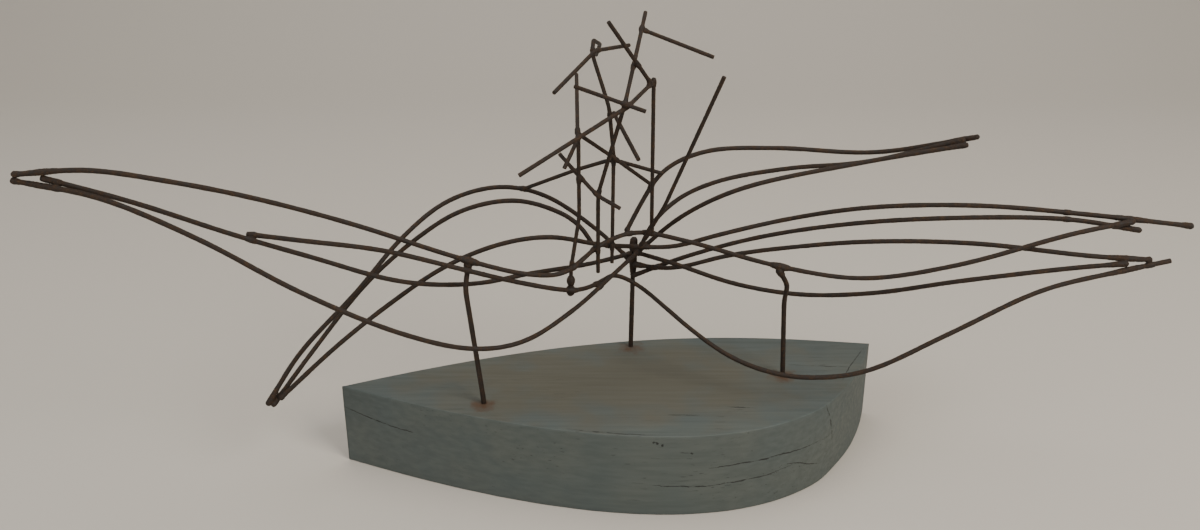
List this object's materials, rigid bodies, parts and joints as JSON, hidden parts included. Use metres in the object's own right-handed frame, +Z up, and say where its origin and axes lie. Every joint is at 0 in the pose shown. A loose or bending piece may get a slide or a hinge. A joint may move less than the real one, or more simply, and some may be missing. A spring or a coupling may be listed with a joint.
{
  "type": "wire sculpture on plinth",
  "caption": "Open sculpture of bent rusted steel rods, joined into pointed wings and a small mast, on a boat-shaped blue-grey wooden plinth.",
  "frame": {"origin": "on the plinth's underside, at the middle of the plinth's length and width", "axes": "+Z is up, +X runs along the plinth from its point to its slanted end, and the front faces -Y"},
  "size_m": [0.5239, 0.1671, 0.2311],
  "materials": {
    "blue_grey_paint": "matte blue-grey paint on solid wood, crazed and worn",
    "rusted_steel": "dark brown rust, matte and pitted"
  },
  "bodies": {
    "root": {"plinth": "blue_grey_paint", "front_support": "rusted_steel", "middle_support": "rusted_steel", "right_support": "rusted_steel", "arch_rod": "rusted_steel", "left_middle_rod": "rusted_steel", "long_belly_rod": "rusted_steel", "right_belly_rod": "rusted_steel", "low_outer_rod": "rusted_steel", "low_middle_rod": "rusted_steel", "low_inner_rod": "rusted_steel", "upper_outer_rod": "rusted_steel", "upper_middle_rod": "rusted_steel", "right_upper_rod": "rusted_steel", "right_middle_rod": "rusted_steel", "right_lower_rod": "rusted_steel", "mast": "rusted_steel", "leaning_mast_rod": "rusted_steel", "bead_rod": "rusted_steel", "back_stick": "rusted_steel", "top_stick": "rusted_steel", "right_mast_rod": "rusted_steel", "long_cross_stick": "rusted_steel", "hanging_stick": "rusted_steel", "short_cross_stick": "rusted_steel", "upper_bent_stick": "rusted_steel", "flag_stick": "rusted_steel", "outer_leaning_rod": "rusted_steel", "lower_bow_stick": "rusted_steel", "brace_stick": "rusted_steel", "lower_bent_stick": "rusted_steel"}
  },
  "joints": []
}
